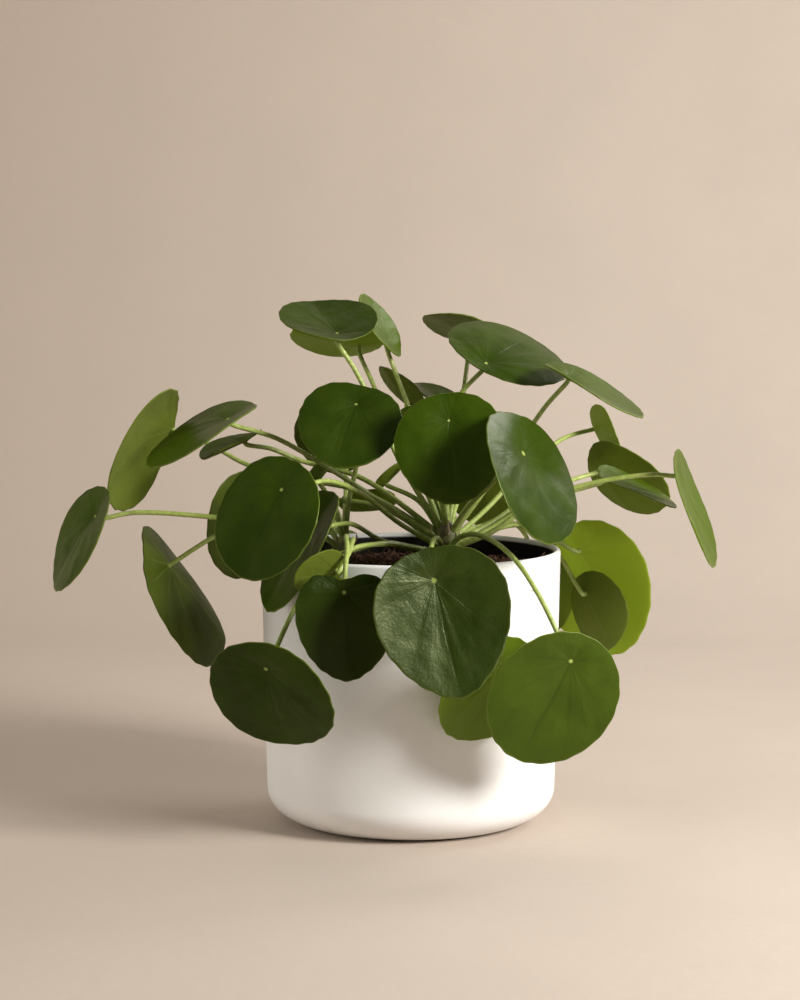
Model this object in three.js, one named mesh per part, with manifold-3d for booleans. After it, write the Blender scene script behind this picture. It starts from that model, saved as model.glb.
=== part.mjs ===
// A potted pilea: a white ceramic pot, the soil in it, two leafy stems and their round leaves.
// Millimetres, +Z up. The origin is the centre of the pot's base, and -Y is the front.
import * as THREE from "three";
import { mergeVertices } from "three/addons/utils/BufferGeometryUtils.js";
import Module from "manifold-3d";

const wasm = await Module();
wasm.setup();

// Solids that touch keep this gap.
const GAP = 0.3;

// The pot: outside radius at the top and near the foot, and the foot's rounding.
const POT_HEIGHT = 128;
const POT_TOP_RADIUS = 70;
const POT_LOW_RADIUS = 67.6;
const POT_FOOT_RADIUS = 46;
const POT_FOOT_RISE = 16;
const POT_WALL = 2.8;
const POT_FLOOR = 5;
const POT_SIDES = 48;

// The soil: mean level of its top, and the level of its underside.
const SOIL_TOP = 118;
const SOIL_BASE = POT_FLOOR + GAP;

// A leaf blade and its stalk.
const BLADE_THICKNESS = 0.8;
const STALK_RADIUS = 1.25;
const STALK_SIDES = 6;
const SCALLOPS = 20;

const potMaterial = new THREE.MeshStandardMaterial({ color: 0xf1eee8, roughness: 0.55, metalness: 0 });
const soilMaterial = new THREE.MeshStandardMaterial({ color: 0x2b1a12, roughness: 1, metalness: 0 });
const stemMaterial = new THREE.MeshStandardMaterial({ color: 0x8fa03c, roughness: 0.6, metalness: 0 });
const leafMaterial = new THREE.MeshStandardMaterial({ color: 0x2f4a14, roughness: 0.4, metalness: 0 });

const plant = new THREE.Group();
plant.name = "potted_pilea";

function addMesh(name, geometry, material) {
  const mesh = new THREE.Mesh(geometry, material);
  mesh.name = name;
  plant.add(mesh);
  return mesh;
}

function toSolid(geometry) {
  const bare = geometry.clone();
  bare.deleteAttribute("normal");
  bare.deleteAttribute("uv");
  const merged = mergeVertices(bare, 1e-4);
  const shape = new wasm.Mesh({
    numProp: 3,
    vertProperties: new Float32Array(merged.attributes.position.array),
    triVerts: new Uint32Array(merged.index.array),
  });
  return new wasm.Manifold(shape);
}

function toGeometry(solid) {
  const mesh = solid.getMesh();
  const geometry = new THREE.BufferGeometry();
  geometry.setAttribute("position", new THREE.BufferAttribute(mesh.vertProperties, 3));
  geometry.setIndex(new THREE.BufferAttribute(mesh.triVerts, 1));
  geometry.computeVertexNormals();
  return geometry;
}

// A profile of [radius, height] points, turned round the +Z axis.
function turned(profile, sides) {
  const points = profile.map(([radius, height]) => new THREE.Vector2(radius, height));
  return new THREE.LatheGeometry(points, sides).rotateX(Math.PI / 2);
}

// A quarter of an ellipse as [radius, height] points, from one angle to another in degrees.
function arc(centreRadius, centreHeight, wide, high, from, to, steps) {
  const points = [];
  for (let step = 0; step <= steps; step += 1) {
    const angle = THREE.MathUtils.degToRad(from + ((to - from) * step) / steps);
    points.push([centreRadius + wide * Math.cos(angle), centreHeight + high * Math.sin(angle)]);
  }
  return points;
}

// Pot: one cast cylinder, a little wider at the top, with a rounded foot and a rounded rim.
const potRimRound = POT_WALL / 2;
const potInnerTop = POT_TOP_RADIUS - POT_WALL;
const potInnerLow = POT_LOW_RADIUS - POT_WALL;
const potProfile = [
  [0, 0],
  ...arc(POT_FOOT_RADIUS, POT_FOOT_RISE, POT_LOW_RADIUS - POT_FOOT_RADIUS, POT_FOOT_RISE, -90, 0, 6),
  ...arc(POT_TOP_RADIUS - potRimRound, POT_HEIGHT - potRimRound, potRimRound, potRimRound, 0, 180, 6),
  ...arc(POT_FOOT_RADIUS - POT_WALL, POT_FOOT_RISE + 3, potInnerLow - POT_FOOT_RADIUS + POT_WALL,
    POT_FOOT_RISE + 3 - POT_FLOOR, 0, -90, 4),
  [0, POT_FLOOR],
];
addMesh("pot", turned(potProfile, POT_SIDES), potMaterial);

// Two stems stand in the soil: axis foot and head, and thickness.
const stems = {
  main_stem: { foot: [15, 3, 84], head: [17, 0, 141], radius: 6.2 },
  side_stem: { foot: [-30, -6, 92], head: [-31, -8, 133], radius: 4.2 },
};

// Soil: fills the pot to just under the rim, with a rough top that is heaped at the front right
// and round the two stems.
function soilHeight(x, y) {
  const heap = 5.5 * Math.exp(-((x - 45) ** 2 + (y + 42) ** 2) / 500);
  const atMain = 4.5 * Math.exp(-((x - 15) ** 2 + (y - 3) ** 2) / 260);
  const atSide = 3 * Math.exp(-((x + 30) ** 2 + (y + 6) ** 2) / 180);
  const rough = 0.9 * Math.sin(0.41 * x + 1.3) * Math.cos(0.37 * y) + 0.6 * Math.sin(0.9 * x - 0.7 * y);
  return SOIL_TOP + heap + atMain + atSide + rough;
}

function soilGeometry() {
  const sides = 36;
  const topRings = [14, 28, 41, 52, 60];
  const wallRadius = potInnerTop - GAP - 0.3;
  const positions = [];
  const faces = [];
  const ring = (radius, heightOf) => {
    const first = positions.length / 3;
    for (let side = 0; side < sides; side += 1) {
      const angle = (2 * Math.PI * side) / sides;
      const x = radius * Math.cos(angle);
      const y = radius * Math.sin(angle);
      positions.push(x, y, heightOf(x, y));
    }
    return first;
  };
  const centre = (height) => {
    positions.push(0, 0, height);
    return positions.length / 3 - 1;
  };
  const band = (inner, outer) => {
    for (let side = 0; side < sides; side += 1) {
      const next = (side + 1) % sides;
      faces.push(inner + side, outer + side, outer + next);
      faces.push(inner + side, outer + next, inner + next);
    }
  };
  const crown = centre(soilHeight(0, 0));
  const rings = topRings.map((radius) => ring(radius, soilHeight));
  rings.push(ring(wallRadius, (x, y) => soilHeight(x, y) - 1));
  const innerWall = arc(POT_FOOT_RADIUS - POT_WALL, POT_FOOT_RISE + 3, potInnerLow - POT_FOOT_RADIUS
    + POT_WALL - GAP - 0.4, POT_FOOT_RISE + 3 - POT_FLOOR - GAP, 0, -90, 4);
  innerWall.forEach(([radius, height]) => rings.push(ring(radius, () => height)));
  const under = centre(SOIL_BASE);
  for (let side = 0; side < sides; side += 1) {
    const next = (side + 1) % sides;
    faces.push(crown, rings[0] + side, rings[0] + next);
    faces.push(rings[rings.length - 1] + side, under, rings[rings.length - 1] + next);
  }
  for (let index = 1; index < rings.length; index += 1) {
    band(rings[index - 1], rings[index]);
  }
  const geometry = new THREE.BufferGeometry();
  geometry.setAttribute("position", new THREE.BufferAttribute(new Float32Array(positions), 3));
  geometry.setIndex(faces);
  return geometry;
}

// A round bar between two points, widened by the given amount, with a domed head.
function stemBar({ foot, head, radius }, widened) {
  const from = new THREE.Vector3(...foot);
  const to = new THREE.Vector3(...head);
  const length = from.distanceTo(to);
  const wide = radius + widened;
  const profile = [
    [0, -widened],
    [wide * 0.9, -widened],
    [wide, length * 0.45],
    [wide * 0.94, length * 0.6],
    [wide * 1.02, length * 0.72],
    [wide * 0.8, length * 0.9],
    [wide * 0.4, length + widened],
    [0, length + widened],
  ];
  const turn = new THREE.Quaternion().setFromUnitVectors(
    new THREE.Vector3(0, 0, 1),
    to.clone().sub(from).normalize(),
  );
  return turned(profile, 12).applyQuaternion(turn).translate(...foot);
}

let soil = toSolid(soilGeometry());
for (const stem of Object.values(stems)) {
  soil = soil.subtract(toSolid(stemBar(stem, GAP)));
}
addMesh("soil", toGeometry(soil), soilMaterial);

// The leaves. joint is where the stalk meets the blade. facing is the way the upper face looks,
// in degrees from the front toward the right, and lift is how far it looks upward. roll turns the
// tip from straight downhill. cup raises the rim, fold raises both sides of the midrib, tipBend
// and heelBend raise the tip and the part behind the joint, wave lets the rim undulate.
// egg narrows the half toward the tip and widens the half behind the joint.
// course is the way of the stalk from its stem, which it leaves at the height called root.
const leaves = [
  // Left side, from the far tip inward.
  { name: "leaf_01", stem: "side_stem", root: 127, joint: [-146, -15, 144.5], facing: -63, lift: 27,
    roll: -26, size: [54, 51], cup: -0.1, fold: 0.1, hook: 6,
    course: [[-47, -10, 138], [-92, -14, 144], [-128, -14, 146]] },
  { name: "leaf_02", stem: "main_stem", root: 131, joint: [-114, 25, 182], facing: -128, lift: 31,
    roll: 78, size: [51, 68], seat: 0.46, cup: -0.3, fold: 0, hook: 8,
    course: [[-23, 14, 153], [-50, 24, 158], [-79, 30, 165], [-97, 29, 175]] },
  { name: "leaf_03", stem: "main_stem", root: 130, joint: [-84, -22, 190], facing: -66, lift: 62,
    roll: -7, size: [58, 56], cup: -0.1, fold: 0.12, hook: 5,
    course: [[-9, -6, 147], [-37, -13, 166], [-62, -19, 181]] },
  { name: "leaf_04", stem: "main_stem", root: 132, joint: [-78, 5, 178], facing: -71, lift: 66,
    roll: 20, size: [32, 30], cup: 0.1, fold: 0.2, hook: 4,
    course: [[-23, 9, 160], [-52, 13, 168], [-66, 9, 174]] },
  { name: "leaf_05", stem: "main_stem", root: 127, joint: [-57, -72, 162], facing: -33, lift: 23,
    roll: -16, size: [57, 55], cup: -0.12, fold: 0.1, hook: 8,
    course: [[-5, -14, 141], [-23, -34, 157], [-38, -50, 164]] },
  { name: "leaf_06", stem: "main_stem", root: 126, joint: [-42, -51, 145.5], facing: -62, lift: 30,
    roll: -14, size: [62, 51], cup: -0.1, fold: 0.14, hook: 8,
    course: [[0, -13, 129], [-14, -24, 134.5], [-27, -35, 143]] },
  { name: "leaf_07", stem: "main_stem", root: 128, joint: [-114, 0, 119.5], facing: -105, lift: -31,
    roll: -43, size: [74, 72], seat: 0.26, cup: 0.17, fold: 0.14, hook: 8,
    course: [[-14, 2, 147], [-47, 0, 150], [-75, -2, 142], [-93, -2, 133]] },
  { name: "leaf_08", stem: "main_stem", root: 125, joint: [-63, -95, 86], facing: -23, lift: -30,
    roll: -3, size: [61, 59], cup: -0.1, fold: 0.08, hook: 10,
    course: [[0, -22, 131], [-12, -42, 135], [-28, -57, 133],
      [-38, -69, 130], [-44, -70, 121], [-52, -71, 108]] },
  { name: "leaf_09", stem: "side_stem", root: 122, joint: [-33, -80, 127.5], facing: -140, lift: 32,
    roll: 80, size: [26, 24], seat: 0.3, cup: 0.05, fold: 0.1, hook: 4,
    course: [[-27, -34, 134], [-26, -58, 138], [-28, -76, 133]] },
  { name: "leaf_10", stem: "side_stem", root: 125, joint: [-29, -91, 119], facing: 2, lift: -5,
    roll: 3, size: [52, 43], cup: 0, fold: 0.3, heelBend: -1.6, tip: 0.05, notch: 0.3, egg: 0.16, hook: 4,
    course: [[-29, -34, 136], [-29, -60, 139.5], [-28, -78, 137], [-28.5, -87.5, 129]] },
  { name: "leaf_11", stem: "main_stem", root: 123, joint: [-35, -68, 113], facing: -32, lift: -5,
    roll: 0, size: [42, 40], cup: -0.1, fold: 0.08, hook: 3,
    course: [[0, -24, 131], [-14, -46, 135], [-27, -61, 134], [-32, -67, 128]] },
  // Front and right side.
  { name: "leaf_12", stem: "main_stem", root: 124, joint: [10, -101, 125.5], facing: 12, lift: 5,
    roll: 11, size: [65, 60], seat: 0.26, cup: 0.14, fold: 0.08, tip: 0.06, egg: 0.13, hook: 12,
    course: [[12, -40, 137], [9, -72, 136]] },
  { name: "leaf_13", stem: "main_stem", root: 125, joint: [40, -80, 86], facing: 30, lift: -20,
    roll: -14, size: [55, 50], cup: -0.12, fold: 0.05, hook: 4,
    course: [[24, -40, 132], [29, -70, 131], [34, -78, 110]] },
  { name: "leaf_14", stem: "main_stem", root: 127, joint: [69.5, -95, 89.5], facing: 12, lift: -12,
    roll: -24, size: [65, 58], seat: 0.28, cup: -0.1, fold: 0.12, hook: 8,
    course: [[23, -15, 135], [32, -38, 138], [46, -72, 131], [57, -86, 115]] },
  { name: "leaf_15", stem: "main_stem", root: 127, joint: [83, 58, 120], facing: 142, lift: 8,
    roll: -24, size: [68, 64], seat: 0.28, cup: -0.1, fold: 0.08, hook: 6,
    course: [[28, 15, 135], [48, 34, 136], [66, 49, 129]] },
  { name: "leaf_16", stem: "main_stem", root: 126, joint: [85, 42, 101], facing: 130, lift: 0,
    roll: -32, size: [40, 36], cup: 0.1, fold: 0.2, hook: 5,
    course: [[30, 12, 132], [52, 28, 136], [64, 35, 131], [73, 39, 118]] },
  { name: "leaf_17", stem: "main_stem", root: 125, joint: [63, 69, 107], facing: 150, lift: -10,
    roll: 0, size: [44, 42], cup: -0.1, fold: 0.1, hook: 5,
    course: [[28, 23, 132], [44, 43, 137], [56, 60, 128]] },
  { name: "leaf_18", stem: "main_stem", root: 131, joint: [50, -57, 177], facing: 57, lift: 29,
    roll: -10, size: [65, 63], seat: 0.17, cup: -0.12, fold: 0.08, hook: 10,
    course: [[26, -10, 148], [36, -28, 160]] },
  { name: "leaf_19", stem: "main_stem", root: 132, joint: [17, -49, 191], facing: -8, lift: 18,
    roll: 6, size: [51, 50], cup: -0.14, fold: 0.14, egg: 0.1, hook: 10,
    course: [[14, -10, 164], [13, -22, 181]] },
  { name: "leaf_20", stem: "side_stem", root: 128, joint: [-25, -26, 197], facing: 1, lift: 43,
    roll: -15, size: [48, 47], cup: -0.14, fold: 0.12, hook: 10,
    course: [[-29, -3, 150], [-25, -6, 170]] },
  // Upper leaves.
  { name: "leaf_21", stem: "main_stem", root: 133, joint: [-34, -14, 229], facing: 10, lift: 69,
    roll: -166, size: [44, 46], cup: 0.1, fold: 0.12, hook: 8,
    course: [[-3, -3, 165], [-15, -6, 190], [-26, -9, 212]] },
  { name: "leaf_22", stem: "main_stem", root: 132, joint: [-25, 40, 221.5], facing: -178, lift: 63,
    roll: 112, size: [46, 44], cup: 0.05, fold: 0.1, hook: 8,
    course: [[2, 15, 165], [-10, 24, 185], [-19, 33, 205]] },
  { name: "leaf_23", stem: "main_stem", root: 133, joint: [-10.5, 27, 224.5], facing: 68, lift: 32,
    roll: -139, size: [36, 30], cup: 0.15, fold: 0.1, hook: 4,
    course: [[5, 16, 170], [-1, 24, 192]] },
  { name: "leaf_24", stem: "main_stem", root: 134, joint: [35, 0, 214.5], facing: 22, lift: 57,
    roll: 127, size: [56, 60], seat: 0.36, cup: -0.2, fold: 0.03, hook: 5,
    course: [[17, 4, 172], [22, 3, 198]] },
  { name: "leaf_25", stem: "main_stem", root: 134, joint: [29.5, 62, 224.7], facing: 147, lift: 63,
    roll: 160, size: [37, 36], cup: -0.05, fold: 0.1, hook: 6,
    course: [[19, 16, 170], [25, 37, 198]] },
  { name: "leaf_26", stem: "main_stem", root: 131, joint: [73, -10, 208], facing: 73, lift: 61,
    roll: 5, size: [52, 48], cup: 0, fold: 0.12, hook: 5,
    course: [[37, -2, 159], [52, -6, 180], [63, -9, 196]] },
  { name: "leaf_27", stem: "main_stem", root: 130, joint: [91.2, 72, 179.2], facing: 100, lift: 18,
    roll: -85, size: [37, 26], seat: 0.27, cup: 0.11, fold: 0.09, hook: 4,
    course: [[33, 17, 142], [53, 38, 160], [74, 58, 175]] },
  { name: "leaf_28", stem: "main_stem", root: 129, joint: [93.6, 58, 159.7], facing: 126, lift: 22,
    roll: -65, size: [49, 38], seat: 0.25, cup: 0.28, fold: 0, hook: 3,
    course: [[37, 12, 138], [60, 29, 152], [79, 49, 156]] },
  { name: "leaf_29", stem: "main_stem", root: 128, joint: [90.7, 6, 160], facing: 78, lift: 61,
    roll: 40, size: [42, 40], seat: 0.45, cup: 0.07, fold: 0.11, hook: 3,
    course: [[37, 5, 136.5], [60, 9, 150], [80, 10, 155]] },
  { name: "leaf_30", stem: "main_stem", root: 127, joint: [123, -17, 163.8], facing: 78, lift: 13,
    roll: 7, size: [57, 58], seat: 0.29, cup: 0.19, fold: 0, hook: 4,
    course: [[37, -7, 136], [58, -12, 151], [84, -15, 160], [111, -17, 164]] },
  // Small leaves among the stalks and the tips behind them.
  { name: "leaf_31", stem: "main_stem", root: 133, joint: [-1, 46, 194], facing: 120, lift: 43,
    roll: 180, size: [30, 28], cup: 0.05, fold: 0.12, hook: 4,
    course: [[10, 20, 160], [2, 38, 180]] },
  { name: "leaf_32", stem: "main_stem", root: 132, joint: [-8, 11, 183.5], facing: -60, lift: 50,
    roll: 180, size: [20, 18], cup: 0.05, fold: 0.1, hook: 4,
    course: [[5, 7, 160], [-3, 10, 174]] },
  { name: "leaf_33", stem: "main_stem", root: 133, joint: [21, 46, 190], facing: 60, lift: 62,
    roll: 180, size: [33, 30], cup: 0.05, fold: 0.12, hook: 4,
    course: [[18, 20, 160], [20, 36, 176]] },
  { name: "leaf_34", stem: "main_stem", root: 133, joint: [28, 22, 190], facing: 20, lift: 50,
    roll: 0, size: [28, 27], cup: -0.08, fold: 0.1, hook: 5,
    course: [[22, 10, 162], [27, 22, 178]] },
  { name: "leaf_35", stem: "main_stem", root: 128, joint: [-14, 33, 146], facing: -170, lift: 60,
    roll: 90, size: [28, 26], cup: 0, fold: 0.12, hook: 4,
    course: [[-4, 16, 142]] },
  { name: "leaf_36", stem: "main_stem", root: 128, joint: [35, 50, 152], facing: 170, lift: 45,
    roll: 0, size: [40, 38], cup: -0.05, fold: 0.1, hook: 5,
    course: [[22, 18, 148], [30, 36, 152]] },
  { name: "leaf_37", stem: "main_stem", root: 130, joint: [-12, 18, 157], facing: -120, lift: 50,
    roll: 180, size: [20, 14], cup: 0.1, fold: 0.3, hook: 3,
    course: [[4, 9, 149]] },
  { name: "leaf_38", stem: "side_stem", root: 129, joint: [-44, 0, 160], facing: -60, lift: 45,
    roll: 180, size: [20, 15], cup: 0.1, fold: 0.3, hook: 3,
    course: [[-36, -5, 148]] },
  // The far side.
  { name: "leaf_39", stem: "side_stem", root: 128, joint: [-30, 62, 188], facing: -170, lift: 35,
    roll: 10, size: [50, 48], cup: -0.1, fold: 0.1, hook: 8,
    course: [[-31, 8, 144], [-31, 23, 150.5], [-31, 42, 174]] },
  { name: "leaf_40", stem: "main_stem", root: 131, joint: [42, 82, 174], facing: 160, lift: 25,
    roll: -8, size: [58, 56], cup: -0.1, fold: 0.1, hook: 10,
    course: [[22, 22, 150], [34, 54, 170]] },
  { name: "leaf_41", stem: "side_stem", root: 127, joint: [-80, 70, 145], facing: -128, lift: 8,
    roll: 10, size: [54, 52], cup: -0.1, fold: 0.1, hook: 8,
    course: [[-44, 14, 143], [-64, 44, 150]] },
  { name: "leaf_42", stem: "side_stem", root: 124, joint: [-40, 98, 112], facing: -160, lift: -15,
    roll: -6, size: [60, 58], cup: -0.12, fold: 0.08, hook: 10,
    course: [[-33, 26, 135], [-37, 62, 140], [-39, 84, 128]] },
  { name: "leaf_43", stem: "main_stem", root: 126, joint: [26, 100, 104], facing: 172, lift: -20,
    roll: 6, size: [62, 60], cup: -0.1, fold: 0.1, hook: 10,
    course: [[19, 32, 134], [22, 66, 135], [25, 86, 124]] },
];

// The directions of a blade: along the tip, across it and out of its upper face.
function bladeAxes({ facing, lift, roll }) {
  const turn = THREE.MathUtils.degToRad(facing);
  const rise = THREE.MathUtils.degToRad(lift);
  const spin = THREE.MathUtils.degToRad(roll);
  const up = new THREE.Vector3(
    Math.sin(turn) * Math.cos(rise),
    -Math.cos(turn) * Math.cos(rise),
    Math.sin(rise),
  );
  const downhill = new THREE.Vector3(
    Math.sin(turn) * Math.sin(rise),
    -Math.cos(turn) * Math.sin(rise),
    -Math.cos(rise),
  );
  const side = new THREE.Vector3().crossVectors(up, downhill);
  const along = downhill.multiplyScalar(Math.cos(spin)).addScaledVector(side, Math.sin(spin));
  const across = new THREE.Vector3().crossVectors(up, along);
  return { along, across, up };
}

// A point of the upper face: share 0 is the joint and share 1 the rim, at an angle from the tip.
function bladePoint(leaf, index, share, angle) {
  const [length, width] = leaf.size;
  const { seat = 0.24, cup = 0, fold = 0, tipBend = 0, heelBend = 0 } = leaf;
  const { wave = 0.012, tip = 0.015, notch = 0.03, egg = 0 } = leaf;
  const phase = index * 2.4;
  const outline = 1
    + 0.011 * Math.sin(SCALLOPS * angle + phase)
    + 0.012 * Math.sin(3 * angle + phase)
    + tip * Math.exp(-18 * (1 - Math.cos(angle)))
    - notch * Math.exp(-10 * (1 + Math.cos(angle)));
  const x = share * length * (seat + 0.5 * outline * Math.cos(angle));
  const y = share * width * 0.5 * outline * Math.sin(angle) * (1 - egg * Math.cos(angle));
  const alongShare = x / length;
  const acrossShare = y / length;
  const square = alongShare ** 2 + acrossShare ** 2;
  const bend = alongShare > 0 ? tipBend : heelBend;
  const rise = cup * square
    + fold * (Math.sqrt(acrossShare ** 2 + 0.0016) - 0.04)
    + bend * alongShare ** 2
    + wave * share ** 3 * Math.sin(3 * angle + phase * 1.7)
    + 0.018 * (1 - Math.exp(-square / 0.012));
  return new THREE.Vector3(x, y, length * rise);
}

// A blade: the upper face in rings round the joint, the lower face a leaf's thickness under it
// with the same triangles, and a strip round the rim.
function bladeGeometry(leaf, index) {
  const small = leaf.size[0] < 35;
  const rings = small ? [[0.5, 8], [1, 24]] : [[0.3, 8], [0.64, 16], [1, 40]];
  const points = [bladePoint(leaf, index, 0, 0)];
  const faces = [];
  let before = { first: 0, count: 1 };
  for (const [share, count] of rings) {
    const first = points.length;
    for (let side = 0; side < count; side += 1) {
      points.push(bladePoint(leaf, index, share, (2 * Math.PI * side) / count));
    }
    if (before.count === 1) {
      for (let side = 0; side < count; side += 1) {
        faces.push(0, first + side, first + ((side + 1) % count));
      }
    } else {
      let inner = 0;
      let outer = 0;
      while (inner < before.count || outer < count) {
        const innerHere = before.first + (inner % before.count);
        const outerHere = first + (outer % count);
        if (outer < count && (outer + 0.5) / count <= (inner + 0.5) / before.count) {
          faces.push(innerHere, outerHere, first + ((outer + 1) % count));
          outer += 1;
        } else {
          faces.push(innerHere, outerHere, before.first + ((inner + 1) % before.count));
          inner += 1;
        }
      }
    }
    before = { first, count };
  }
  const upper = new THREE.BufferGeometry().setFromPoints(points);
  upper.setIndex(faces);
  upper.computeVertexNormals();
  const normals = upper.attributes.normal;
  const total = points.length;
  const lower = points.map((point, at) =>
    point.clone().addScaledVector(new THREE.Vector3().fromBufferAttribute(normals, at), -BLADE_THICKNESS));
  const closed = [...faces];
  for (let at = 0; at < faces.length; at += 3) {
    closed.push(faces[at] + total, faces[at + 2] + total, faces[at + 1] + total);
  }
  for (let side = 0; side < before.count; side += 1) {
    const here = before.first + side;
    const next = before.first + ((side + 1) % before.count);
    closed.push(here, here + total, next + total);
    closed.push(here, next + total, next);
  }
  const geometry = new THREE.BufferGeometry().setFromPoints([...points, ...lower]);
  geometry.setIndex(closed);
  geometry.computeVertexNormals();
  return geometry;
}

// A stalk: a thin round bar from inside its stem, along its course, to just under the blade.
function stalkSolid(leaf, axes) {
  const { foot, head } = stems[leaf.stem];
  const along = (leaf.root - foot[2]) / (head[2] - foot[2]);
  const root = new THREE.Vector3(...foot).lerp(new THREE.Vector3(...head), along);
  const joint = new THREE.Vector3(...leaf.joint);
  const under = BLADE_THICKNESS + GAP + 0.05;
  const points = [
    root,
    ...leaf.course.map((point) => new THREE.Vector3(...point)),
    joint.clone().addScaledVector(axes.up, -leaf.hook),
    joint.clone().addScaledVector(axes.up, -under),
  ];
  const course = new THREE.CatmullRomCurve3(points, false, "centripetal");
  const section = new THREE.Shape();
  for (let side = 0; side < STALK_SIDES; side += 1) {
    const angle = (2 * Math.PI * side) / STALK_SIDES;
    const corner = [STALK_RADIUS * Math.cos(angle), STALK_RADIUS * Math.sin(angle)];
    if (side === 0) {
      section.moveTo(...corner);
    } else {
      section.lineTo(...corner);
    }
  }
  section.closePath();
  const steps = Math.max(5, Math.round(course.getLength() / 16));
  return toSolid(new THREE.ExtrudeGeometry(section, { steps, bevelEnabled: false, extrudePath: course }));
}

const stalks = { main_stem: [], side_stem: [] };
leaves.forEach((leaf, index) => {
  const axes = bladeAxes(leaf);
  const mesh = addMesh(leaf.name, bladeGeometry(leaf, index), leafMaterial);
  mesh.position.set(...leaf.joint);
  mesh.quaternion.setFromRotationMatrix(new THREE.Matrix4().makeBasis(axes.along, axes.across, axes.up));
  stalks[leaf.stem].push(stalkSolid(leaf, axes));
});

// Each stem with all its leaf stalks grown into it is one piece.
for (const [name, stem] of Object.entries(stems)) {
  let solid = toSolid(stemBar(stem, 0));
  for (const stalk of stalks[name]) {
    solid = solid.add(stalk);
  }
  addMesh(name, toGeometry(solid), stemMaterial);
}

export default plant;
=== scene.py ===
"""A potted pilea: a plain white ceramic pot with soil, two leafy stems and their round leaves.

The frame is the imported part. Lengths are in millimetres until a mesh is made, and -Y is the front.
"""
import math

import bpy
import numpy as np
from mathutils import Matrix, Vector


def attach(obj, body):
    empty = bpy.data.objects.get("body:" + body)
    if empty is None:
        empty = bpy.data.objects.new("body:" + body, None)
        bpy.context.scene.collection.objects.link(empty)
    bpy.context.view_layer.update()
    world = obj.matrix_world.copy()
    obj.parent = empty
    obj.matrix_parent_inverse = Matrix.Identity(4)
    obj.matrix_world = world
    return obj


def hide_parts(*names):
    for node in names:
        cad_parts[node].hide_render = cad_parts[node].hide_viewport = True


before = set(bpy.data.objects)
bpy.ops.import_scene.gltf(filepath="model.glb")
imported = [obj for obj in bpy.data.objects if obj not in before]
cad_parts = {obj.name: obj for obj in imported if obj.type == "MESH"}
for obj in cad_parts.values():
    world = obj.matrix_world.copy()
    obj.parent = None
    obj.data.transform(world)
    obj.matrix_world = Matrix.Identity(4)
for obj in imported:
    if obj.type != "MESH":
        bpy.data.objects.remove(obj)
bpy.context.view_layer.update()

# The room. The pot stands on a sweep of beige paper that rises into the backdrop. A large soft light
# shines from the right front and a small one from behind, with two weak fills that leaves and pot
# don't mirror. The camera stands a little above the rim and looks slightly down. Places are in metres.
scene = bpy.context.scene
scene.view_settings.view_transform = "Standard"

CAMERA_PLACE = (0, -1.24, 0.27)
CAMERA_DOWN = 5.5
CAMERA_TURN = 0.236
CAMERA_LENS = 95.94
CAMERA_REACH = 20
camera = bpy.data.objects.new("camera", bpy.data.cameras.new("camera"))
scene.collection.objects.link(camera)
camera.location = CAMERA_PLACE
camera.rotation_euler = (math.radians(90 - CAMERA_DOWN), 0, math.radians(CAMERA_TURN))
camera.data.lens = CAMERA_LENS
camera.data.clip_end = CAMERA_REACH
scene.camera = camera


def smooth_piece(name, points, faces):
    """An object with smooth shading, from its points and faces."""
    mesh = bpy.data.meshes.new(name)
    mesh.from_pydata(points, [], faces)
    mesh.shade_smooth()
    piece = bpy.data.objects.new(name, mesh)
    scene.collection.objects.link(piece)
    return piece


SWEEP_WIDTH = 4.0
SWEEP_FRONT = -1.6
SWEEP_BEND_START = 0.55
SWEEP_BEND_RADIUS = 0.7
SWEEP_BEND_STEPS = 24
SWEEP_HEIGHT = 2.6
sweep_line = [(SWEEP_FRONT, 0.0), (SWEEP_BEND_START, 0.0)]
for step in range(1, SWEEP_BEND_STEPS + 1):
    angle = math.pi / 2 * step / SWEEP_BEND_STEPS
    sweep_line.append((SWEEP_BEND_START + SWEEP_BEND_RADIUS * math.sin(angle),
                       SWEEP_BEND_RADIUS * (1 - math.cos(angle))))
sweep_line.append((SWEEP_BEND_START + SWEEP_BEND_RADIUS, SWEEP_HEIGHT))
sweep = smooth_piece(
    "paper_sweep",
    [(x, y, z) for y, z in sweep_line for x in (-SWEEP_WIDTH / 2, SWEEP_WIDTH / 2)],
    [(2 * i, 2 * i + 1, 2 * i + 3, 2 * i + 2) for i in range(len(sweep_line) - 1)])


class Result:
    """What a node gives. Arithmetic with it adds Math nodes to the same tree."""

    def __init__(self, node, output=0):
        self.node = node
        self.socket = node.outputs[output]
        self.tree = node.id_data

    def __add__(self, other):
        return maths("ADD", self, other)

    def __sub__(self, other):
        return maths("SUBTRACT", self, other)

    def __rsub__(self, other):
        return maths("SUBTRACT", other, self)

    def __mul__(self, other):
        return maths("MULTIPLY", self, other)

    def __truediv__(self, other):
        return maths("DIVIDE", self, other)


def feed(node, inputs):
    """Gives a node's inputs, found by name or number, a value or another node's result."""
    for key, value in inputs.items():
        if isinstance(value, Result):
            node.id_data.links.new(value.socket, node.inputs[key])
        else:
            node.inputs[key].default_value = value


def add_node(tree, kind, inputs=None, output=0, **settings):
    """A new node's result, from the node's inputs and settings."""
    node = tree.nodes.new(kind)
    for key, value in settings.items():
        setattr(node, key, value)
    feed(node, inputs or {})
    return Result(node, output)


def maths(operation, *values):
    """A Math node's result, from numbers and other nodes' results."""
    tree = next(value.tree for value in values if isinstance(value, Result))
    return add_node(tree, "ShaderNodeMath", dict(enumerate(values)), operation=operation)


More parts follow.
